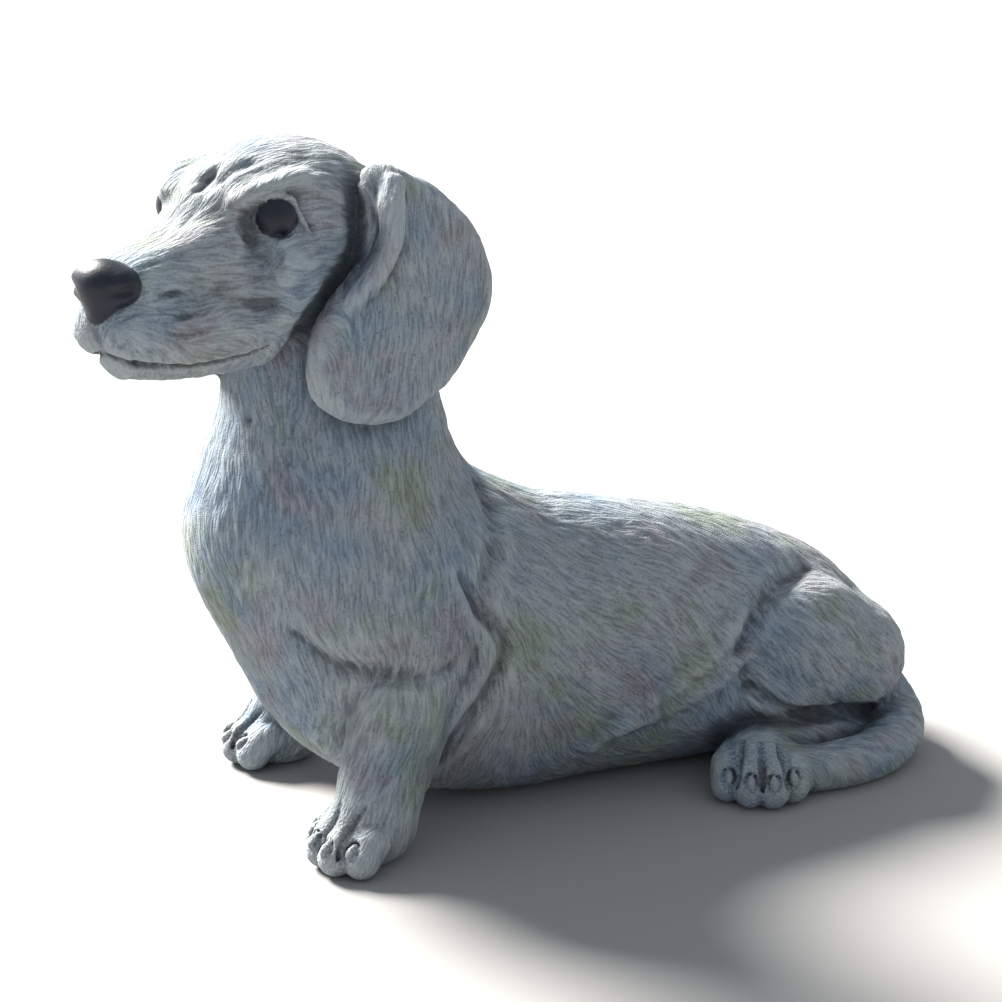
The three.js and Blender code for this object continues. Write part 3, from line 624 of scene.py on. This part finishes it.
    def model_ear(self, side):
        """An ear: a leaf hung from the skull, its front edge folded over and its back edge free."""
        near = side < 0
        hung = (
            self.head
            @ Matrix.Translation((144 if near else 150, side * 55, -16))
            @ Matrix.Rotation(side * self.ear_flare, 4, "Z")
        )
        drop = 1.0 if near else 0.8
        outline = [(x, z * drop if z < 0 else z) for x, z in EAR_OUTLINE]
        gap = [
            (-19, -side * 5, 50, 1.5),
            (-20, -side * 5, 20, 2.5),
            (-32, -side * 5, 2, 3.5),
            (-44, -side * 5, -14, 4.5),
            (-47, -side * 4, -32, 4),
        ]
        self.carving.carve(limb(gap if near else gap[:2]).placed(hung), 17)
        self.add(ball((8, -side * 13, 3), (27, 17, 48)).placed(hung), 8)
        self.add(leaf(outline, self.ear, side).placed(hung), 7)
        roll = [
            (-10, side * 3, 50, 5),
            (-14, side * 7, 40, 6),
            (-13.5, side * 7.5, 26, 5),
            (-20, side * 5.5, 12, 4.5),
            (-30, side * 3, 0, 3.5),
        ]
        self.add(limb(roll).placed(hung), 4)
        crease = [
            (1, side * 8, 46, 1.5),
            (-2, side * 9.5, 38, 2.6),
            (-3, side * 10, 27, 2.4),
            (-9, side * 9, 16, 1),
        ]
        self.carving.carve(limb(crease).placed(hung), 4)

    def crease(self, points, side, radius, blend):
        """A groove along the skin of one side."""
        self.carving.carve(skin_line(self.carving, points, side, radius), blend)

    def fold(self, points, side, radius, blend):
        """A ridge along the skin of one side."""
        self.carving.add(skin_line(self.carving, points, side, radius, radius * 0.4), blend)

    def model_folds(self, side):
        """Folds and creases of the skin on one side."""
        shoulder = [(-14, 162), (-12, 150), (-16, 138), (-23, 125), (-30, 114)]
        self.crease(shoulder, side, 2.6, 9)
        elbow = [(-44, 134), (-41, 122), (-34, 109), (-26, 98), (-25, 86), (-33, 74)]
        elbow += [(-46, 55), (-57, 32)]
        self.fold(elbow, side, 2.8, 6)
        behind = [(-38, 130), (-32, 118), (-24, 107), (-16, 97), (-16, 86), (-24, 72)]
        behind += [(-37, 52), (-48, 30)]
        self.crease(behind, side, 2.4, 6)
        under_arm = [(-114, 108), (-102, 96), (-90, 90), (-71, 88), (-56, 87), (-45, 88)]
        self.crease(under_arm, side, 2.6, 7)
        thigh = [(160, 101), (147, 100), (133, 96), (122, 88), (115, 77), (112, 65), (116, 53)]
        self.crease(thigh, side, 3, 8)
        under_thigh = [(118, 51), (133, 38), (151, 31), (168, 29), (184, 27), (200, 26)]
        self.crease(under_thigh, side, 3, 6)
        upper_flank = [(113, 88), (96, 71), (76, 57), (54, 46), (36, 30)]
        self.fold(upper_flank, side, 2.6, 8)
        lower_flank = [(116, 68), (98, 57), (74, 46), (48, 38)]
        self.fold(lower_flank, side, 2.2, 7)


# Places of the features, in parts.

# Each toe: how far across in toe radii, and how far forward.
TOES = ((-1.75, 12), (-0.62, 19), (0.62, 20), (1.75, 13))
TOE_HEIGHT = 8.5
MOUTH = [
    (9, 1, -33),
    (12, 8, -36),
    (22, 14, -38.5),
    (37, 18, -41),
    (57, 22, -41.5),
    (73, 27, -39.5),
    (82, 30, -36.5),
]
WHISKERS = [
    [(22, -6), (32, -7), (43, -7)],
    [(22, -12), (32, -15), (44, -15)],
    [(20, -20), (31, -23), (45, -23)],
]
# Pinholes of the casting on the neck, chips in the near ear's back edge, and whisker pits in
# the head's frame, each with its radius.
PITS = (
    (-125.7, -24.8, 204.9, 1.4),
    (-116.9, -35.2, 203.7, 1.0),
    (-112.8, -39.3, 198.8, 1.0),
    (-113.6, -42.1, 187.6, 1.0),
    (-42.6, -58.4, 253.4, 1.8),
    (-42.4, -56.9, 229.6, 1.9),
)
WHISKER_PITS = (
    (6.8, -9, -24, 1),
    (8.3, -11.4, -27, 1),
    (9.5, -14.6, -25, 1),
    (13, -15.1, -29.4, 1),
)
FURROW = [(69, -4, 31), (79, -8, 37), (90, -11.5, 43)]
# The upper lid from its inner corner to the outer, from the eye's middle in eye radii, with radii
# in parts; and the crease behind it.
UPPER_LID = [
    (-0.85, 0.30, 0.72, 0.7),
    (-0.62, 0.42, 0.90, 1.1),
    (-0.35, 0.56, 0.93, 1.3),
    (0.00, 0.78, 0.81, 1.4),
    (0.28, 0.98, 0.46, 1.4),
    (0.50, 1.12, -0.14, 1.3),
    (0.72, 1.26, -0.62, 0.9),
]
LID_CREASE = [(0.42, 1.0, 0.75), (0.64, 1.1, 0.40), (0.86, 1.2, -0.12), (1.02, 1.35, -0.75)]
# The near ear's rim in its own plane, from the top of the front edge down and round.
EAR_OUTLINE = [
    (-19, 55),
    (-20, 36),
    (-21, 19),
    (-33, 5),
    (-43.5, -11),
    (-46, -28),
    (-42, -43),
    (-31, -52),
    (-17, -56),
    (0, -55),
    (15, -47.5),
    (29, -37),
    (40.5, -21),
    (48.5, -9),
    (50.5, 2),
    (45.5, 20),
    (30, 38),
    (6, 52),
    (-8, 58),
]
# The space that the carving is sampled in.
CASTING_BOX = ((-236, -118, -4), (250, 112, 344))


def sample(carving, low, high, step):
    """The distance on a grid, taken closely only in the blocks near the skin."""
    block = 8
    counts = [math.ceil((h - l) / step / block) * block for l, h in zip(low, high)]
    blocks = [c // block for c in counts]
    origin = np.array(low, float)
    index = np.stack(np.meshgrid(*[np.arange(b) for b in blocks], indexing="ij"), -1).reshape(-1, 3)
    middles = origin + (index * block + (block - 1) / 2) * step
    whole = carving.distance(middles)
    reach = math.sqrt(3) / 2 * block * step
    values = np.empty(blocks + [block] * 3, np.float32)
    values.reshape(-1, block**3)[:] = whole[:, None]
    flat = values.reshape(-1, block**3)
    inside = np.stack(np.meshgrid(*[np.arange(block)] * 3, indexing="ij"), -1).reshape(-1, 3) * step
    margin, blocks_at_once = 1.2, 60
    near = np.nonzero(np.abs(whole) < margin * reach)[0]
    for few in np.array_split(near, max(1, len(near) // blocks_at_once)):
        corners = origin + index[few] * block * step
        points = (corners[:, None, :] + inside[None]).reshape(-1, 3)
        flat[few] = carving.distance(points).reshape(len(few), -1)
    grid = values.transpose(0, 3, 1, 4, 2, 5).reshape(counts)
    heights = origin[2] + np.arange(counts[2]) * step
    return np.maximum(grid, -heights[None, None, :]), origin


def surface(values, origin, step):
    """The closed skin of a sampled distance, as points and four-sided faces."""
    volume = openvdb.FloatGrid(float(values.max()))
    volume.copyFromArray(np.ascontiguousarray(values, np.float32))
    points, faces = volume.convertToQuads(isovalue=0.0)
    return origin + points * step, faces


ASKEW = np.array(turned(31, 23, 40))


def noise(p, cell, seed):
    """Smooth noise from -1 to 1 at points p, with bumps as wide as cell, askew to the axes."""
    q = p @ ASKEW / cell
    base = np.floor(q).astype(np.int64)
    f = q - base
    f = f * f * (3 - 2 * f)
    total = np.zeros(len(p))
    # Each corner of the lattice gets a random value by mixing the bits of its place.
    for corner in np.ndindex(2, 2, 2):
        c = base + corner
        key = (c[:, 0] * 73856093) ^ (c[:, 1] * 19349663) ^ (c[:, 2] * 83492791)
        key = key ^ (seed * 2654435761)
        key = (key ^ (key >> 13)) * 1274126177 & 0xFFFFFFFF
        key = (key ^ (key >> 16)) & 0xFFFF
        weight = np.ones(len(p))
        for axis in range(3):
            weight *= f[:, axis] if corner[axis] else 1 - f[:, axis]
        total += weight * (key / 32767.5 - 1)
    return total


def coat_flow(dog, p, normals):
    """The way the coat lies at points p: back along the face and trunk, down the neck and limbs."""
    turn = np.array(dog.head.to_3x3())
    in_head = (p - np.array(dog.nose_tip)) @ turn
    # Each share goes from 0 to 1 over some parts: the head above the jaw and before the shoulders,
    # the ears beside the skull, the trunk behind the elbows, and the forelegs low in front.
    head_share = np.clip((in_head[:, 2] + 45) / 20, 0, 1) * np.clip((60 - p[:, 0]) / 40, 0, 1)
    head_share *= np.clip((p[:, 2] - 225) / 20, 0, 1)
    ear_share = np.clip((np.abs(in_head[:, 1]) - 43) / 6, 0, 1)
    ear_share *= np.clip((in_head[:, 0] - 96) / 12, 0, 1)
    trunk_share = np.clip((p[:, 0] + 30) / 40, 0, 1)
    low_share = np.clip((90 - p[:, 2]) / 30, 0, 1) * (1 - trunk_share)
    down = np.array((0.10, 0, -1.0))
    back = np.array((0.70, 0, -0.72))
    leg = np.array((-0.3, 0, -1.0))
    flow = down + trunk_share[:, None] * (back - down)
    flow = flow + low_share[:, None] * (leg - flow)
    face = turn @ np.array((1.0, 0, -0.12))
    flow = flow + head_share[:, None] * (face - flow)
    hanging = turn @ np.array((-0.12, 0, -1.0))
    flow = flow + (ear_share * np.clip((p[:, 2] - 195) / 10, 0, 1))[:, None] * (hanging - flow)
    for axis in range(3):
        flow[:, axis] += 0.35 * noise(p, 26, 50 + axis) + 0.3 * noise(p, 10, 60 + axis)
    flow -= np.einsum("ij,ij->i", flow, normals)[:, None] * normals
    return flow / np.maximum(rows_length(flow), 1e-6)[:, None]


def coat_relief(dog, p, normals, width):
    """Height of the coat's strokes from -1 to 1: noise drawn out along the lie of the coat."""
    flow = coat_flow(dog, p, normals)
    reach = 2.2 * width
    total = np.zeros(len(p))
    spread = 0.0
    for along in np.linspace(-reach, reach, 9):
        weight = 1 - (abs(along) / reach) ** 2 * 0.8
        total += weight * noise(p + along * flow, width, 7)
        spread += weight
    strokes = total / spread * 2.4
    return np.clip(strokes, -1, 1)


def neighbour_mean(values, edges, count):
    """Each point's mean over the points it shares an edge with."""
    total = np.zeros(values.shape)
    np.add.at(total, edges[:, 0], values[edges[:, 1]])
    np.add.at(total, edges[:, 1], values[edges[:, 0]])
    return total / count.reshape(-1, *[1] * (values.ndim - 1))


def mesh_arrays(mesh):
    """Points, edges and outward directions of a mesh, as arrays."""
    points = np.empty(len(mesh.vertices) * 3)
    mesh.vertices.foreach_get("co", points)
    edges = np.empty(len(mesh.edges) * 2, np.int64)
    mesh.edges.foreach_get("vertices", edges)
    normals = np.empty(len(mesh.vertices) * 3)
    mesh.vertex_normals.foreach_get("vector", normals)
    return points.reshape(-1, 3), edges.reshape(-1, 2), normals.reshape(-1, 3)


def hollows(points, edges, normals, rounds):
    """How deep each point lies below the skin smoothed over some rounds, in parts."""
    count = np.bincount(edges.ravel(), minlength=len(points)).astype(float)
    smooth = points
    for _ in range(rounds):
        smooth = neighbour_mean(smooth, edges, count)
    return np.einsum("ij,ij->i", smooth - points, normals)


def occlusion_shade(carving, points, normals):
    """How closed in each point is, from 0 in the open to 1 in a deep gap: the mask of the shade
    painted into gaps.
    """
    closed = np.zeros(len(points))
    for reach, weight in ((3, 0.2), (6, 0.3), (12, 0.3), (22, 0.2)):
        room = carving.distance(points + reach * normals)
        closed += weight * np.clip((reach - room) / reach, 0, 1)
    return closed


def store(mesh, name, values):
    """Keeps a number or a direction for each point of a mesh, for the material to read."""
    kind, field = ("FLOAT", "value") if values.ndim == 1 else ("FLOAT_VECTOR", "vector")
    attribute = mesh.attributes.new(name, kind, "POINT")
    attribute.data.foreach_set(field, values.astype(np.float32).ravel())


# Material


def add_node(tree, kind, inputs, output=None, **settings):
    """Adds a node with its settings, sets or links its inputs, and gives one of its outputs."""
    node = tree.nodes.new("ShaderNode" + kind)
    for name, value in settings.items():
        setattr(node, name, value)
    for key, value in inputs.items():
        socket = node.inputs[key]
        if isinstance(value, bpy.types.NodeSocket):
            tree.links.new(value, socket)
        else:
            socket.default_value = value
    return None if output is None else node.outputs[output]


# Stains and grit: name, size in mm and detail of the noise.
STAINS = (("cool", 70, 3), ("mossy", 45, 3), ("brown", 30, 4), ("pits", 1.3, 2), ("grit", 1.1, 4))
# What lies over the bare stone, in order: mask, its least and greatest value, cover and colour.
LAYERS = (
    ("cool", 0.42, 0.66, 1.0, "blue"),
    ("mossy", 0.50, 0.68, 0.7, "moss"),
    ("brown", 0.52, 0.70, 0.7, "umber"),
    # The coat's strokes: lighter on their crests, darker in their troughs.
    ("coat", 0.1, 1.0, 0.12, "worn"),
    ("coat", 0.0, -1.0, 0.15, "grime_and_shade"),
    ("strokes", 0.5, 1.0, 0.2, "worn"),
    ("strokes", 0.5, 0.0, 0.32, "grime_and_shade"),
    ("pits", 0.42, 0.28, 0.5, "grime_and_shade"),
    # Painted shade, with dirt, in the hollows below the smoothed skin: the mouth line, the folds
    # and the coat's grooves.
    ("hollow_grime_and_shade", 0.1, 1.0, 0.65, "grime_and_shade"),
    # Painted shade in closed-in gaps, such as under the ears and between the legs and the trunk.
    ("occlusion_shade", 0.2, 0.9, 0.75, "grime_and_shade"),
    ("crest", 0.1, 1.0, 0.4, "worn"),
    ("paint", -0.35, 0.35, 1.0, "paint"),
)
# The coat's finest strokes, each side of a point along the lie of the coat, in metres.
STROKE_WIDTH = 1.25 * MM
STROKE_SPACING = 0.85 * MM
STROKE_STEPS = 3


def cast_stone(colours):
    """Cast stone, weathered: mould-rough and matt, its recesses and gaps darkened by dirt and
    painted shade, crests worn pale.

    Cement paste takes up damp unevenly, which gives the eye cool, mossy and brownish patches.
    The eyes and the nose are brushed with a thin coat of dark enamel, so they alone shine.
    """
    material = bpy.data.materials.new("weathered cast stone")
    material.use_nodes = True
    tree = material.node_tree
    tree.nodes.clear()
    place = add_node(tree, "TexCoord", {}, "Object")
    masks = {}
    for name in ("coat", "hollow_grime_and_shade", "occlusion_shade", "crest", "paint"):
        masks[name] = add_node(tree, "Attribute", {}, "Fac", attribute_name=name)
    for name, size_mm, detail in STAINS:
        inputs = {"Vector": place, "Scale": 1 / (size_mm * MM), "Detail": detail, "Roughness": 0.6}
        masks[name] = add_node(tree, "TexNoise", inputs, "Fac")

    # Fine strokes: noise averaged along the lie of the coat.
    flow = add_node(tree, "Attribute", {}, "Vector", attribute_name="flow")
    strokes = 0.0
    for step in range(-STROKE_STEPS, STROKE_STEPS + 1):
        along = step * STROKE_SPACING
        inputs = {0: flow, 1: (along, along, along), 2: place}
        moved = add_node(tree, "VectorMath", inputs, 0, operation="MULTIPLY_ADD")
        askew = add_node(tree, "Mapping", {"Vector": moved, "Rotation": (0.5, 0.4, 0.7)}, 0)
        inputs = {"Vector": askew, "Scale": 1 / STROKE_WIDTH, "Detail": 1.0}
        grains = add_node(tree, "TexNoise", inputs, "Fac")
        strokes = add_node(tree, "Math", {0: grains, 1: strokes}, 0, operation="ADD")
    inputs = {0: strokes, 1: 1 / (2 * STROKE_STEPS + 1)}
    strokes = add_node(tree, "Math", inputs, 0, operation="MULTIPLY")
    inputs = {"Value": strokes, "From Min": 0.42, "From Max": 0.58}
    masks["strokes"] = add_node(tree, "MapRange", inputs, 0, interpolation_type="SMOOTHSTEP")

    colour = colours.stone
    for name, low, high, share, tint in LAYERS:
        inputs = {"Value": masks[name], "From Min": low, "From Max": high, "To Max": share}
        cover = add_node(tree, "MapRange", inputs, 0, interpolation_type="SMOOTHSTEP")
        inputs = {0: cover, 6: colour, 7: getattr(colours, tint)}
        colour = add_node(tree, "Mix", inputs, 2, data_type="RGBA")

    # Where the enamel lies it is smoother than the stone, and fills the finest relief.
    inputs = {"Value": masks["paint"], "From Min": -0.35, "From Max": 0.35}
    roughness = add_node(tree, "MapRange", inputs | {"To Min": 0.9, "To Max": 0.42}, 0)
    depth = add_node(tree, "MapRange", inputs | {"To Min": 0.8, "To Max": 0.08}, 0)
    inputs = {"Height": masks["strokes"], "Strength": depth, "Distance": 0.4 * MM}
    relief = add_node(tree, "Bump", inputs, 0)
    inputs = {"Height": masks["grit"], "Strength": depth, "Distance": 0.25 * MM}
    relief = add_node(tree, "Bump", inputs | {"Normal": relief}, 0)
    inputs = {"Base Color": colour, "Roughness": roughness, "Normal": relief, "IOR": 1.4}
    shader = add_node(tree, "BsdfPrincipled", inputs, 0)
    add_node(tree, "OutputMaterial", {"Surface": shader})
    return material


def pale_floor():
    """Matt white paper, rolled out flat: gives the eye a plain pale ground."""
    material = bpy.data.materials.new("matt white paper")
    material.use_nodes = True
    shader = material.node_tree.nodes["Principled BSDF"]
    shader.inputs["Base Color"].default_value = linear("#8c8c8c")
    shader.inputs["Roughness"].default_value = 0.9
    return material


# Operators


def make_object(name, mesh):
    """An object of a mesh, linked, selected and active."""
    piece = bpy.data.objects.new(name, mesh)
    bpy.context.scene.collection.objects.link(piece)
    bpy.ops.object.select_all(action="DESELECT")
    piece.select_set(True)
    bpy.context.view_layer.objects.active = piece
    return piece


class STATUE_OT_casting(bpy.types.Operator):
    """Carve the whole statue, one casting, and give it its weathered finish and painted shade"""

    bl_idname = "statue.casting"
    bl_label = "Casting"
    triangle_limit = 196000
    full_hollow_depth = 1.6  # in parts, below the smoothed skin

    def execute(self, context):
        sizes = context.scene.statue_casting
        dog = Dachshund(sizes)
        grain = sizes.grain / dog.part * 1.0
        values, origin = sample(dog.carving, *CASTING_BOX, grain)
        points, faces = surface(values, origin, grain)
        mesh = bpy.data.meshes.new("dachshund_casting")
        mesh.from_pydata(points, [], faces)
        mesh.update()
        points, _, normals = mesh_arrays(mesh)
        width = sizes.stroke_width / dog.part
        bare = self.bare_share(dog, points)
        relief = coat_relief(dog, points, normals, width) * bare
        points = points + normals * (relief * sizes.coat_depth / dog.part / 2)[:, None]
        points[:, 2] = np.maximum(points[:, 2], 0)
        mesh.vertices.foreach_set("co", points.ravel())
        mesh.update()
        piece = make_object("dachshund_casting", mesh)
        self.drop_crumbs(mesh)
        bpy.ops.object.modifier_add(type="DECIMATE")
        piece.modifiers["Decimate"].ratio = min(1, self.triangle_limit / (2 * len(mesh.polygons)))
        bpy.ops.object.modifier_apply(modifier="Decimate")
        mesh = piece.data
        points, edges, normals = mesh_arrays(mesh)
        bare = self.bare_share(dog, points)
        store(mesh, "coat", coat_relief(dog, points, normals, width) * bare)
        # How closed in each point is, for the shade painted into the gaps.
        store(mesh, "occlusion_shade", occlusion_shade(dog.carving, points, normals))
        store(mesh, "flow", coat_flow(dog, points, normals) * bare[:, None])
        # The hollows below and the crests above the smoothed skin; the hollows get dirt and painted
        # shade.
        broad, narrow = (hollows(points, edges, normals, rounds) for rounds in (14, 3))
        depth = (broad + 0.5 * narrow) / self.full_hollow_depth
        store(mesh, "hollow_grime_and_shade", np.clip(depth, 0, 1))
        store(mesh, "crest", np.clip(-depth, 0, 1))
        store(mesh, "paint", self.paint_depth(dog, points))
        points = np.clip(points * dog.part + np.array(STATUE_SHIFT), *CAD_BOX)
        mesh.vertices.foreach_set("co", points.ravel())
        mesh.update()
        bpy.ops.object.shade_smooth()
        mesh.materials.append(cast_stone(context.scene.statue_finish))
        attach(piece, "root")
        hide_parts(NODE)
        return {"FINISHED"}

    def drop_crumbs(self, mesh):
        """Deletes the crumbs that the carving leaves loose, apart from the statue itself."""
        crown = max(mesh.vertices, key=lambda vertex: vertex.co.z).index
        bpy.ops.object.mode_set(mode="EDIT")
        bpy.ops.mesh.select_all(action="DESELECT")
        bpy.ops.object.mode_set(mode="OBJECT")
        mesh.vertices[crown].select = True
        bpy.ops.object.mode_set(mode="EDIT")
        bpy.ops.mesh.select_mode(type="VERT")
        bpy.ops.mesh.select_linked()
        bpy.ops.mesh.select_all(action="INVERT")
        bpy.ops.mesh.delete(type="VERT")
        bpy.ops.object.mode_set(mode="OBJECT")

    def bare_share(self, dog, points):
        """1 where the coat covers the casting, 0 on eyes, nose and soles, little on the toes."""
        share = np.clip((points[:, 2] - 1.5) / 3, 0, 1)
        for shape in dog.painted:
            share *= np.clip((shape.distance(points) - 0.4) / 2.5, 0, 1)
        for paw in dog.paws:
            away = rows_length(points - np.array(paw @ Vector((14, 0, 8))))
            share *= np.clip((away - 18) / 10, 0.15, 1)
        return share

    def paint_depth(self, dog, points):
        """How far each point lies within the painted patches, from -3 to 3 parts."""
        depth = 0.5 - dog.nose_pad.distance(points)
        for eyeball, front in dog.eyes:
            in_sight = dog.eye - rows_length(points - front)
            depth = np.maximum(depth, np.minimum(in_sight, 0.7 - eyeball.distance(points)))
        return np.clip(depth, -3, 3)


class STATUE_OT_stage(bpy.types.Operator):
    """Lay the floor, hang the lights and set the camera at the photograph's angle"""

    bl_idname = "statue.stage"
    bl_label = "Stage"

    def execute(self, context):
        self.floor()
        self.lights()
        self.camera(context)
        return {"FINISHED"}

    def floor(self):
        bpy.ops.object.select_all(action="DESELECT")
        bpy.ops.mesh.primitive_plane_add(size=12, location=(0, 0, 0))
        ground = bpy.context.object
        ground.name = "floor"
        ground.data.materials.append(pale_floor())

    def lights(self):
        world = bpy.context.scene.world or bpy.data.worlds.new("studio")
        bpy.context.scene.world = world
        world.use_nodes = True
        background = world.node_tree.nodes["Background"]
        background.inputs["Color"].default_value = linear("#e6edf5")
        background.inputs["Strength"].default_value = 0.75
        data = bpy.data.lights.new("high window", "SUN")
        data.energy = 21
        data.angle = math.radians(22)
        data.color = linear("#fffaf2")[:3]
        window = bpy.data.objects.new("high window", data)
        bpy.context.scene.collection.objects.link(window)
        window.rotation_euler = Vector((0.4, -0.9, -0.75)).to_track_quat("-Z", "Y").to_euler()

    def camera(self, context):
        """Placed by the photograph: the camera stands off the dog's left front, above its head."""
        round_to_left = math.radians(23)
        distance_along_ground = 1.050
        height = 0.465
        aim = Vector((0.0, -0.016, 0.150)) + STATUE_SHIFT
        focal_length = 82.7
        data = bpy.data.cameras.new("photograph")
        camera = bpy.data.objects.new("photograph", data)
        context.scene.collection.objects.link(camera)
        towards = Vector((-math.sin(round_to_left), -math.cos(round_to_left), 0))
        camera.location = Vector((aim.x, aim.y, height)) + towards * distance_along_ground
        camera.rotation_euler = (aim - camera.location).to_track_quat("-Z", "Y").to_euler()
        data.lens = focal_length
        data.clip_start = 0.01
        context.scene.camera = camera


class STATUE_PT_panel(bpy.types.Panel):
    """Lists the statue's settings and steps"""

    bl_label = "Dachshund statue"
    bl_idname = "STATUE_PT_panel"
    bl_space_type = "VIEW_3D"
    bl_region_type = "UI"
    bl_category = "Statue"

    def draw(self, context):
        for settings in (context.scene.statue_casting, context.scene.statue_finish):
            box = self.layout.box()
            for name in settings.__annotations__:
                box.prop(settings, name)
        for operator in (STATUE_OT_casting, STATUE_OT_stage):
            self.layout.operator(operator.bl_idname)


CLASSES = (CastingSettings, FinishSettings, STATUE_OT_casting, STATUE_OT_stage, STATUE_PT_panel)


def register():
    for cls in CLASSES:
        bpy.utils.register_class(cls)
    bpy.types.Scene.statue_casting = bpy.props.PointerProperty(type=CastingSettings)
    bpy.types.Scene.statue_finish = bpy.props.PointerProperty(type=FinishSettings)


def unregister():
    del bpy.types.Scene.statue_casting
    del bpy.types.Scene.statue_finish
    for cls in reversed(CLASSES):
        bpy.utils.unregister_class(cls)


def main():
    register()
    bpy.ops.statue.casting()
    bpy.ops.statue.stage()
    bpy.context.scene.view_settings.view_transform = "Standard"


if __name__ == "__main__":
    main()
